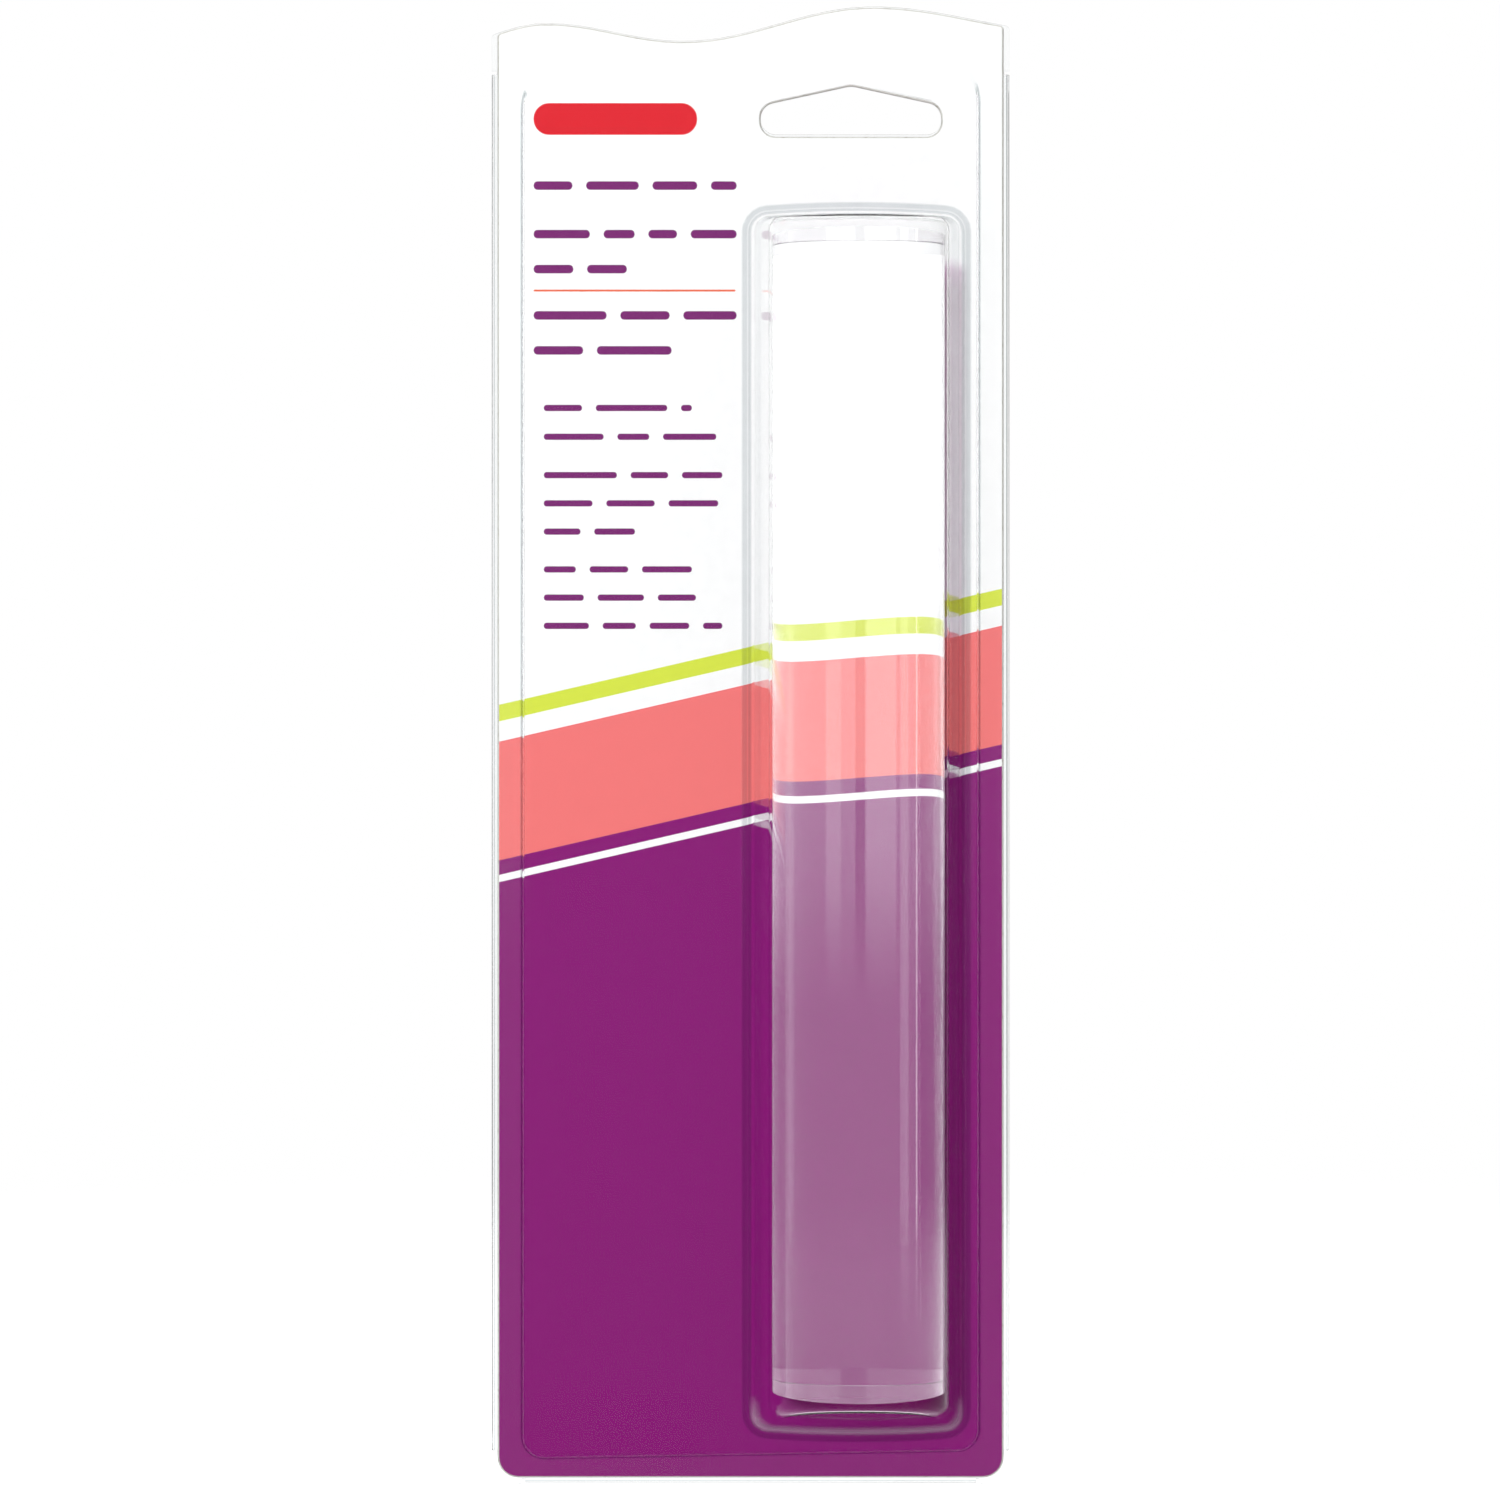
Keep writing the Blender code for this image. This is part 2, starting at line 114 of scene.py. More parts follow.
# Meshes: how close two corners are merged, the steps in each round, and the card's crease
MERGE_WIDTH = 0.002 * MM
ROD_EDGE_STEPS = 5
CARD_EDGE_STEPS = 4
CARD_CREASE = math.radians(50)

# Dashes: their lengths and gaps, the least rest that gets a dash of its own, and the ink
DASH_LENGTHS = (5 * MM, 13 * MM)
DASH_GAP = 2.4 * MM
LEAST_REST = 4 * MM
INK_DEPTH = 0.03 * MM
DASH_STEP = 0.12 * MM
HEADING_SEED = 3
NOTE_SEED = 8

# Bar above the heading and rule through it, as (stroke, height, length)
MARK_BAR = (5.6 * MM, -5.8 * MM, 29 * MM)
THIN_RULE = (0.35 * MM, -36.2 * MM, 35.8 * MM)

# Stage: half the floor's width, its squares and its gap below the pack, and the axis that lamps face
FLOOR_HALF = 6.0
FLOOR_SQUARES = 8
FLOOR_GAP = 0.3 * MM
LAMP_AXIS = Vector((0.001, -0.015, 0))

# Soft boxes that only clear pieces mirror, as
# (name, azimuth, distance, bottom, top, width, brightness, fade)
MIRRORED_BOXES = (
    ("left_strip", -101, 0.75, -0.33, 0.09, 0.15, 0.85, 0.05),
    ("right_strip", 61, 0.9, -0.40, 0.10, 0.2, 1.7, 0.08),
    ("right_edge", 81, 0.75, -0.35, 0.10, 0.03, 7.0, 0.03),
    ("left_window", -25, 1.5, -0.27, 0.9, 1.07, 1.9, 0.12),
    ("right_window", 28, 1.5, -0.27, 0.9, 1.17, 2.1, 0.12),
)

# Soft boxes that light the pack and aren't mirrored, as
# (name, azimuth, distance, bottom, top, width, brightness)
KEY_BOX = ("key", -11, 1.5, 0.06, 0.34, 0.28, 83.0)
CROWN_BOX = ("crown", 0, 0.05, 0.9, 1.2, 0.3, 16.0)
BACK_BOX = ("back", 160, 1.5, -0.2, 0.4, 0.6, 17.0)

# Rows of dashes, as (height, start from the left, share of the longest row)
HEADING_ROWS = (
    (-17.6 * MM, 0, 1.0),
    (-26.2 * MM, 0, 1.0),
    (-32.4 * MM, 0, 0.46),
    (-40.6 * MM, 0, 1.0),
    (-46.8 * MM, 0, 0.68),
)

NOTE_ROWS = (
    (-57.0 * MM, 1.8 * MM, 0.78),
    (-62.1 * MM, 1.8 * MM, 0.9),
    (-68.9 * MM, 1.8 * MM, 0.93),
    (-73.9 * MM, 1.8 * MM, 0.91),
    (-78.9 * MM, 1.8 * MM, 0.5),
    (-85.6 * MM, 1.8 * MM, 0.78),
    (-90.6 * MM, 1.8 * MM, 0.8),
    (-95.6 * MM, 1.8 * MM, 0.93),
)


def linear(code):
    """Turns an sRGB hex code into linear red, green and blue."""
    parts = [int(code[place : place + 2], 16) / 255 for place in (1, 3, 5)]
    return tuple(part / 12.92 if part <= 0.04045 else ((part + 0.055) / 1.055) ** 2.4 for part in parts)


def add_node(tree, kind, settings=(), sockets=()):
    """Adds a node with its settings, and gives its inputs values or links."""
    node = tree.nodes.new(kind)
    for name, value in dict(settings).items():
        setattr(node, name, value)
    for name, value in dict(sockets).items():
        if isinstance(value, bpy.types.NodeSocket):
            tree.links.new(value, node.inputs[name])
        else:
            node.inputs[name].default_value = value
    return node


def any_ray(tree, *kinds):
    """1 on rays of one of these kinds, and 0 on others."""
    path = add_node(tree, "ShaderNodeLightPath").outputs
    found = path[kinds[0]]
    for kind in kinds[1:]:
        either = add_node(tree, "ShaderNodeMath", {"operation": "MAXIMUM"}, {0: found, 1: path[kind]})
        found = either.outputs[0]
    return found


def start_material(name):
    """A new material with an empty node tree."""
    material = bpy.data.materials.new(name)
    material.use_nodes = True
    material.node_tree.nodes.clear()
    return material, material.node_tree


def end_material(tree, shader):
    """Links the shader to the material's output."""
    add_node(tree, "ShaderNodeOutputMaterial", {}, {"Surface": shader.outputs[0]})


def add_swim(tree, place, width, height):
    """Slow waves in a clear surface, as a normal."""
    waves = add_node(
        tree,
        "ShaderNodeTexNoise",
        {},
        {"Vector": place, "Scale": 1 / width, "Detail": 1.0, "Roughness": 0.4},
    )
    bump = add_node(
        tree,
        "ShaderNodeBump",
        {},
        {"Height": waves.outputs["Fac"], "Strength": 1.0, "Distance": height},
    )
    return bump.outputs["Normal"]


def add_rubs(tree, place, least, most):
    """Clean and rubbed patches a few millimetres wide, as a roughness."""
    rubbed = add_node(
        tree,
        "ShaderNodeTexNoise",
        {},
        {"Vector": place, "Scale": 1 / (3 * MM), "Detail": 3.0},
    )
    roughness = add_node(
        tree,
        "ShaderNodeMapRange",
        {},
        {"Value": rubbed.outputs["Fac"], "From Min": 0.3, "From Max": 0.8, "To Min": least, "To Max": most},
    )
    return roughness.outputs["Result"]


def let_light_through(tree, body, gain, shadow, least, most, where=1):
    """Ends a clear material so that light passes on through it.

    Light that meets the surface squarely is multiplied by the gain. As its slant grows from least
    to most it takes the shadow's colour, but only where the last value is 1.
    """
    facing = add_node(tree, "ShaderNodeLayerWeight", {}, {"Blend": 0.5})
    slant = add_node(
        tree,
        "ShaderNodeMapRange",
        {},
        {"Value": facing.outputs["Facing"], "From Min": least, "From Max": most},
    )
    share = add_node(
        tree,
        "ShaderNodeMath",
        {"operation": "MULTIPLY"},
        {0: slant.outputs["Result"], 1: where},
    )
    passed = add_node(
        tree,
        "ShaderNodeMix",
        {"data_type": "RGBA"},
        {0: share.outputs[0], FIRST_COLOUR: (gain, gain, gain, 1), SECOND_COLOUR: (*shadow, 1)},
    )
    clear = add_node(tree, "ShaderNodeBsdfTransparent", {}, {"Color": passed.outputs[MIXED_COLOUR]})
    passing = any_ray(tree, "Is Shadow Ray", "Is Diffuse Ray")
    both = add_node(
        tree,
        "ShaderNodeMixShader",
        {},
        {0: passing, 1: body.outputs[0], 2: clear.outputs[0]},
    )
    end_material(tree, both)


def make_cast_acrylic(settings):
    """Cast acrylic, polished round its side, sawn and sanded at its ends.

    The side is clear and deep under a faint bloom of handling. The sanded ends scatter light, so
    each shows as a pale disc. The rod gathers light on the card behind it, as a lens does. Light
    that meets the side aslant is bent away, so the rod's shadow is deep along its edge, and leans
    to the purple of the card.
    """
    material, tree = start_material("cast_acrylic_polished")
    place = add_node(tree, "ShaderNodeTexCoord").outputs["Object"]
    facing = add_node(tree, "ShaderNodeNewGeometry").outputs["True Normal"]
    way = add_node(tree, "ShaderNodeSeparateXYZ", {}, {"Vector": facing})
    upright = add_node(tree, "ShaderNodeMath", {"operation": "ABSOLUTE"}, {0: way.outputs["Z"]})
    end = add_node(
        tree,
        "ShaderNodeMath",
        {"operation": "GREATER_THAN"},
        {0: upright.outputs[0], 1: END_FACING},
    )
    clearness = add_node(
        tree,
        "ShaderNodeMapRange",
        {},
        {"Value": end.outputs[0], "To Min": SIDE_CLEARNESS, "To Max": END_CLEARNESS},
    )
    sanded = add_node(
        tree,
        "ShaderNodeMath",
        {"operation": "MULTIPLY"},
        {0: end.outputs[0], 1: END_ROUGHNESS},
    )
    roughness = add_node(
        tree,
        "ShaderNodeMath",
        {"operation": "MAXIMUM"},
        {0: sanded.outputs[0], 1: add_rubs(tree, place, least=0.007, most=0.02)},
    )
    body = add_node(
        tree,
        "ShaderNodeBsdfPrincipled",
        {},
        {
            "Base Color": (*settings.tint, 1),
            "Roughness": roughness.outputs[0],
            "IOR": 1.49,
            "Transmission Weight": clearness.outputs["Result"],
            "Normal": add_swim(tree, place, width=30 * MM, height=0.004 * MM),
        },
    )
    height = add_node(tree, "ShaderNodeSeparateXYZ", {}, {"Vector": place}).outputs["Z"]
    top = add_node(
        tree,
        "ShaderNodeMath",
        {"operation": "GREATER_THAN"},
        {0: height, 1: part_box("roller")[1].z - END_DEPTH},
    )
    below = add_node(tree, "ShaderNodeMath", {"operation": "SUBTRACT"}, {0: 1.0, 1: top.outputs[0]})
    let_light_through(
        tree,
        body,
        gain=settings.gather,
        shadow=settings.shadow,
        least=0.14,
        most=0.4,
        where=below.outputs[0],
    )
    return material


def make_formed_film(settings):
    """Thermoformed PET film, thin and glossy, with the slight swim that drawing it hot leaves.

    At the dome's root and on its steep edges near the card the film takes a grey tint. This is
    painted shade, which stands for the dark lines that light bent by the film draws there. The
    dome's walls are dulled by the blasted mould, so their highlights are soft, and the film
    blushes a little where the foot was drawn furthest. The margin that lies on the card is faintly
    milky, so the print under it is a shade paler. Its IOR is below the usual 1.57, because so thin
    a film hardly mirrors the room.
    """
    material, tree = start_material("pet_film_thermoformed")
    place = add_node(tree, "ShaderNodeTexCoord").outputs["Object"]
    spot = add_node(tree, "ShaderNodeSeparateXYZ", {}, {"Vector": place})
    height = spot.outputs["Y"]
    front = -settings.panel_front
    # Painted shade: heights just above the panel's front face, at the dome's root, take the grey tint
    above = add_node(
        tree,
        "ShaderNodeMapRange",
        {},
        {"Value": height, "From Min": front - ROOT_SHADE_FROM[0], "From Max": front - ROOT_SHADE_FROM[1]},
    )
    below = add_node(
        tree,
        "ShaderNodeMapRange",
        {},
        {"Value": height, "From Min": front - ROOT_SHADE_TO[1], "From Max": front - ROOT_SHADE_TO[0]},
    )
    root = add_node(
        tree,
        "ShaderNodeMath",
        {"operation": "MULTIPLY"},
        {0: above.outputs["Result"], 1: below.outputs["Result"]},
    )
    at_foot = add_node(
        tree,
        "ShaderNodeMapRange",
        {},
        {
            "Value": spot.outputs["Z"],
            "From Min": settings.dome_foot + FOOT_TO[1],
            "From Max": settings.dome_foot + FOOT_TO[0],
        },
    )
    drawn = add_node(
        tree,
        "ShaderNodeMapRange",
        {},
        {"Value": height, "From Min": front - BLUSH_FROM[0], "From Max": front - BLUSH_FROM[1]},
    )
    relaxed = add_node(
        tree,
        "ShaderNodeMapRange",
        {},
        {
            "Value": height,
            "From Min": front - BLUSH_TO[1],
            "From Max": front - BLUSH_TO[0],
            "To Max": MOST_BLUSH,
        },
    )
    both_ways = add_node(
        tree,
        "ShaderNodeMath",
        {"operation": "MULTIPLY"},
        {0: drawn.outputs["Result"], 1: relaxed.outputs["Result"]},
    )
    blush = add_node(
        tree,
        "ShaderNodeMath",
        {"operation": "MULTIPLY"},
        {0: both_ways.outputs[0], 1: at_foot.outputs["Result"]},
    )
    lying = add_node(
        tree,
        "ShaderNodeMath",
        {"operation": "GREATER_THAN"},
        {0: height, 1: front + MARGIN_DEPTH},
    )
    milk = add_node(
        tree,
        "ShaderNodeMath",
        {"operation": "MULTIPLY_ADD"},
        {0: lying.outputs[0], 1: MARGIN_MILK, 2: blush.outputs[0]},
    )
    clearness = add_node(
        tree,
        "ShaderNodeMath",
        {"operation": "SUBTRACT"},
        {0: 1.0, 1: milk.outputs[0]},
    )
    # Painted shade: steep faces near the card take the same grey tint, so the film's edges show as dark
    # lines
    facing = add_node(tree, "ShaderNodeNewGeometry").outputs["True Normal"]
    way = add_node(tree, "ShaderNodeSeparateXYZ", {}, {"Vector": facing})
    square = add_node(tree, "ShaderNodeMath", {"operation": "ABSOLUTE"}, {0: way.outputs["Y"]})
    steep = add_node(
        tree,
        "ShaderNodeMath",
        {"operation": "LESS_THAN"},
        {0: square.outputs[0], 1: STEEP_FACING},
    )
    low = add_node(
        tree,
        "ShaderNodeMath",
        {"operation": "GREATER_THAN"},
        {0: height, 1: front + WALL_DEPTH},
    )
    edge = add_node(
        tree,
        "ShaderNodeMath",
        {"operation": "MULTIPLY"},
        {0: steep.outputs[0], 1: low.outputs[0]},
    )
    root_shaded = add_node(
        tree,
        "ShaderNodeMix",
        {"data_type": "RGBA"},
        {
            0: root.outputs[0],
            FIRST_COLOUR: (*settings.tint, 1),
            SECOND_COLOUR: (*settings.edge_shade_tint, 1),
        },
    )
    colour = add_node(
        tree,
        "ShaderNodeMix",
        {"data_type": "RGBA"},
        {
            0: edge.outputs[0],
            FIRST_COLOUR: root_shaded.outputs[MIXED_COLOUR],
            SECOND_COLOUR: (*settings.edge_shade_tint, 1),
        },
    )
    dulled = add_node(
        tree,
        "ShaderNodeMapRange",
        {},
        {
            "Value": square.outputs[0],
            "From Min": DULL_FACING[0],
            "From Max": DULL_FACING[1],
            "To Max": DULL_ROUGHNESS,
        },
    )
    roughness = add_node(
        tree,
        "ShaderNodeMath",
        {"operation": "MAXIMUM"},
        {0: dulled.outputs["Result"], 1: add_rubs(tree, place, least=0.01, most=0.03)},
    )
    body = add_node(
        tree,
        "ShaderNodeBsdfPrincipled",
        {},
        {
            "Base Color": colour.outputs[MIXED_COLOUR],
            "Roughness": roughness.outputs[0],
            "IOR": 1.12,
            "Transmission Weight": clearness.outputs[0],
            "Normal": add_swim(tree, place, width=14 * MM, height=0.004 * MM),
        },
    )
    let_light_through(tree, body, gain=1, shadow=settings.tint, least=0, most=1)
    return material


def make_printed_board(settings):
    """Carton board, coated and offset printed in front, raw and flecked behind."""
    material, tree = start_material("carton_board_offset_printed")
    place = add_node(tree, "ShaderNodeTexCoord").outputs["Object"]
    turned = add_node(
        tree,
        "ShaderNodeMapping",
        {},
        {"Vector": place, "Rotation": (0, settings.slant, 0)},
    )
    across = add_node(tree, "ShaderNodeSeparateXYZ", {}, {"Vector": turned.outputs[0]})
    depth = add_node(
        tree,
        "ShaderNodeMapRange",
        {},
        {
            "Value": across.outputs["Z"],
            "From Min": -settings.stripes_start,
            "From Max": -settings.stripes_start - settings.stripes_depth,
        },
    )
    stripes = add_node(tree, "ShaderNodeValToRGB", {}, {"Fac": depth.outputs["Result"]})
    ramp = stripes.color_ramp
    ramp.interpolation = "CONSTANT"
    ramp.elements.remove(ramp.elements[0])
    ramp.elements[0].position = 0
    ramp.elements[0].color = (*settings.paper, 1)
    stripe_shares = (
        (0.02, settings.accent),
        (0.11, settings.paper),
        (0.22, settings.band),
        (0.86, settings.ground),
        (0.94, settings.paper),
        (0.98, settings.ground),
    )
    for share, colour in stripe_shares:
        ramp.elements.new(share).color = (*colour, 1)
    mottle = add_node(
        tree,
        "ShaderNodeTexNoise",
        {},
        {"Vector": place, "Scale": 1 / (2 * MM), "Detail": 4.0},
    )
    strength = add_node(
        tree,
        "ShaderNodeMapRange",
        {},
        {"Value": mottle.outputs["Fac"], "To Min": 0.96, "To Max": 1.04},
    )
    ink = add_node(
        tree,
        "ShaderNodeVectorMath",
        {"operation": "SCALE"},
        {0: stripes.outputs["Color"], "Scale": strength.outputs["Result"]},
    )
    flecks = add_node(
        tree,
        "ShaderNodeTexNoise",
        {},
        {"Vector": place, "Scale": 1 / (0.8 * MM), "Detail": 5.0, "Roughness": 0.7},
    )
    raw = add_node(tree, "ShaderNodeValToRGB", {}, {"Fac": flecks.outputs["Fac"]})
    raw.color_ramp.elements[0].position = 0.32
    raw.color_ramp.elements[0].color = (*settings.fleck, 1)
    raw.color_ramp.elements[1].position = 0.46
    raw.color_ramp.elements[1].color = (*settings.pulp, 1)
    facing = add_node(tree, "ShaderNodeNewGeometry").outputs["True Normal"]
    out = add_node(tree, "ShaderNodeSeparateXYZ", {}, {"Vector": facing})
    front = add_node(
        tree,
        "ShaderNodeMath",
        {"operation": "LESS_THAN"},
        {0: out.outputs["Y"], 1: FRONT_FACING},
    )
    colour = add_node(
        tree,
        "ShaderNodeMix",
        {"data_type": "RGBA"},
        {0: front.outputs[0], FIRST_COLOUR: raw.outputs["Color"], SECOND_COLOUR: ink.outputs[0]},
    )
    roughness = add_node(
        tree,
        "ShaderNodeMapRange",
        {},
        {"Value": front.outputs[0], "To Min": 0.85, "To Max": 0.38},
    )
    bump = add_node(
        tree,
        "ShaderNodeBump",
        {},
        {"Height": flecks.outputs["Fac"], "Strength": 0.4, "Distance": 0.02 * MM},
    )
    body = add_node(
        tree,
        "ShaderNodeBsdfPrincipled",
        {},
        {
            "Base Color": colour.outputs[MIXED_COLOUR],
            "Roughness": roughness.outputs["Result"],
            "Specular IOR Level": 0.08,
            "Normal": bump.outputs["Normal"],
        },
    )
    end_material(tree, body)
    return material


def make_ink(name, colour):
    """Offset ink on coated board: flat, nearly even, with a trace of mottle and a soft sheen."""
    material, tree = start_material(name)
    place = add_node(tree, "ShaderNodeTexCoord").outputs["Object"]
    mottle = add_node(
        tree,
        "ShaderNodeTexNoise",
        {},
        {"Vector": place, "Scale": 1 / (0.5 * MM), "Detail": 3.0},
    )
    strength = add_node(
        tree,
        "ShaderNodeMapRange",
        {},
        {"Value": mottle.outputs["Fac"], "To Min": 0.9, "To Max": 1.1},
    )
    ink = add_node(
        tree,
        "ShaderNodeVectorMath",
        {"operation": "SCALE"},
        {0: colour, "Scale": strength.outputs["Result"]},
    )
    body = add_node(
        tree,
        "ShaderNodeBsdfPrincipled",
        {},
        {"Base Color": ink.outputs[0], "Roughness": 0.4, "Specular IOR Level": 0.08},
    )
    end_material(tree, body)
    return material


def plain_mesh(thing):
    """Turns an object's modifiers into one plain mesh, with its place in the mesh."""
    bpy.context.view_layer.update()
    placed = thing.evaluated_get(bpy.context.evaluated_depsgraph_get())
    mesh = bpy.data.meshes.new_from_object(placed)
    mesh.transform(thing.matrix_world)
    thing.modifiers.clear()
    old = thing.data
    thing.data = mesh
    bpy.data.meshes.remove(old)
    mesh.name = thing.name
    thing.matrix_world = Matrix.Identity(4)
    return thing


def start_tree(name, inputs):
    """A Geometry Nodes tree with named inputs, given as (name, kind, value)."""
    tree = bpy.data.node_groups.new(name, "GeometryNodeTree")
    tree.interface.new_socket("Geometry", in_out="INPUT", socket_type="NodeSocketGeometry")
    for label, kind, value in inputs:
        socket = tree.interface.new_socket(label, in_out="INPUT", socket_type=kind)
        socket.default_value = value
    tree.interface.new_socket("Geometry", in_out="OUTPUT", socket_type="NodeSocketGeometry")
    return tree, add_node(tree, "NodeGroupInput").outputs


def end_tree(tree, geometry, material):
    """Ends a tree in realized instances of one material."""
    real = add_node(tree, "GeometryNodeRealizeInstances", {}, {"Geometry": geometry})
    painted = add_node(
        tree,
        "GeometryNodeSetMaterial",
        {},
        {"Geometry": real.outputs[0], "Material": material},
    )
    add_node(tree, "NodeGroupOutput", {}, {"Geometry": painted.outputs[0]})


def add_piece(name, mesh=None):
    """A new object in the scene, at the origin."""
    thing = bpy.data.objects.new(name, mesh or bpy.data.meshes.new(name))
    bpy.context.scene.collection.objects.link(thing)
    return thing


def run_tree(thing, tree, values):
    """Puts a tree on an object, with values for its named inputs."""
    modifier = thing.modifiers.new(tree.name, "NODES")
    modifier.node_group = tree
    for item in tree.interface.items_tree:
        if item.item_type == "SOCKET" and item.name in values:
            modifier[item.identifier] = values[item.name]


def make_rod_tree(material):
    """A tree for a round rod that stands on its foot."""
    tree, inputs = start_tree(
        "turned_rod",
        (
            ("Radius", "NodeSocketFloat", 15 * MM),
            ("Length", "NodeSocketFloat", 200 * MM),
            ("Sides", "NodeSocketInt", 192),
            ("Foot", "NodeSocketVector", (0, 0, 0)),
        ),
    )
    rod = add_node(
        tree,
        "GeometryNodeMeshCylinder",
        {"fill_type": "NGON"},
        {"Vertices": inputs["Sides"], "Radius": inputs["Radius"], "Depth": inputs["Length"]},
    )
    half = add_node(tree, "ShaderNodeMath", {"operation": "MULTIPLY"}, {0: inputs["Length"], 1: 0.5})
    lift = add_node(tree, "ShaderNodeCombineXYZ", {}, {"Z": half.outputs[0]})
    place = add_node(
        tree,
        "ShaderNodeVectorMath",
        {"operation": "ADD"},
        {0: inputs["Foot"], 1: lift.outputs[0]},
    )
    placed = add_node(
        tree,
        "GeometryNodeTransform",
        {},
        {"Geometry": rod.outputs["Mesh"], "Translation": place.outputs[0]},
    )
    smooth = add_node(tree, "GeometryNodeSetShadeSmooth", {}, {"Geometry": placed.outputs[0]})
    end_tree(tree, smooth.outputs[0], material)
    return tree


def make_dash_tree(name, material):
    """A tree that turns each loose edge into a flat dash with round ends, as thick as its ink."""
    tree, inputs = start_tree(
        name,
        (
            ("Stroke", "NodeSocketFloat", 1 * MM),
            ("Ink", "NodeSocketFloat", 0.04 * MM),
            ("Step", "NodeSocketFloat", 0.1 * MM),
        ),
    )
    lines = add_node(tree, "GeometryNodeMeshToCurve", {}, {"Mesh": inputs["Geometry"]})
    fine = add_node(
        tree,
        "GeometryNodeResampleCurve",
        {"mode": "LENGTH"},
        {"Curve": lines.outputs[0], "Length": inputs["Step"]},
    )
    along = add_node(tree, "GeometryNodeSplineParameter")
    whole = add_node(tree, "GeometryNodeSplineLength")
    ahead = add_node(
        tree,
        "ShaderNodeMath",
        {"operation": "SUBTRACT"},
        {0: whole.outputs["Length"], 1: along.outputs["Length"]},
    )
    nearest = add_node(
        tree,
        "ShaderNodeMath",
        {"operation": "MINIMUM"},
        {0: along.outputs["Length"], 1: ahead.outputs[0]},
    )
    half = add_node(tree, "ShaderNodeMath", {"operation": "MULTIPLY"}, {0: inputs["Stroke"], 1: 0.5})
    lack = add_node(
        tree,
        "ShaderNodeMapRange",
        {},
        {"Value": nearest.outputs[0], "From Max": half.outputs[0], "To Min": 1.0, "To Max": 0.0},
    )
    square = add_node(
        tree,
        "ShaderNodeMath",
        {"operation": "MULTIPLY"},
        {0: lack.outputs["Result"], 1: lack.outputs["Result"]},
    )
    rest = add_node(tree, "ShaderNodeMath", {"operation": "SUBTRACT"}, {0: 1.0, 1: square.outputs[0]})
    round_end = add_node(
        tree,
        "ShaderNodeMath",
        {"operation": "SQRT"},
        {0: rest.outputs[0]},
    )
    section = add_node(
        tree,
        "GeometryNodeCurvePrimitiveQuadrilateral",
        {},
        {"Width": inputs["Ink"], "Height": inputs["Stroke"]},
    )
    dash = add_node(
        tree,
        "GeometryNodeCurveToMesh",
        {},
        {
            "Curve": fine.outputs[0],
            "Profile Curve": section.outputs[0],
            "Scale": round_end.outputs[0],
            "Fill Caps": True,
        },
    )
    flat = add_node(
        tree,
        "GeometryNodeSetShadeSmooth",
        {},
        {"Geometry": dash.outputs[0], "Shade Smooth": False},
    )
    end_tree(tree, flat.outputs[0], material)
    return tree


class RollerSettings(bpy.types.PropertyGroup):
    """Sizes and colours of the rod."""

    edge_break: bpy.props.FloatProperty(
        name="Edge break",
        description="Width of the polished round on the end edges",
        default=0.1 * MM,
        unit="LENGTH",
    )
    sides: bpy.props.IntProperty(
        name="Sides",
        description="Sides of the round, fine enough to look smooth through the rod",
        default=256,
    )
    tint: bpy.props.FloatVectorProperty(
        name="Tint",
        description="Colour of the clear acrylic",
        default=linear("#fcfdfd"),
        subtype="COLOR",
    )
    gather: bpy.props.FloatProperty(
        name="Gather",
        description="How much brighter each face of the rod makes the light that passes it squarely",
        default=1.1,
    )
    shadow: bpy.props.FloatVectorProperty(
        name="Shadow",
        description="Colour that light keeps where it passes the rod's side aslant",
        default=linear("#a84a9a"),
        subtype="COLOR",
    )


class ShellSettings(bpy.types.PropertyGroup):
    """Colours of the shell, where they change, and its smoothing."""

    tint: bpy.props.FloatVectorProperty(
        name="Tint",
        description="Colour of the clear film",
        default=linear("#fafbfb"),
        subtype="COLOR",
    )
    # Painted shade: the grey tint of the dome's root and the film's steep edges, which draws them as dark
    # lines
    edge_shade_tint: bpy.props.FloatVectorProperty(
        name="Edge shade tint",
        description="Colour of the film where it is thick or steep",
        default=linear("#b8bfc2"),
        subtype="COLOR",
    )
    dome_foot: bpy.props.FloatProperty(
        name="Dome foot",
        description="Height of the dome's lowest edge",
        default=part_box("roller")[0].z - 11.6 * MM,
        unit="LENGTH",
    )
    panel_front: bpy.props.FloatProperty(
        name="Panel front",
        description="Height of the raised panel's front face above the card",
        default=2.2 * MM,
        unit="LENGTH",
    )
    crease: bpy.props.FloatProperty(
        name="Crease",
        description="Least angle between faces that shows as a crease",
        default=math.radians(40),
        subtype="ANGLE",
    )


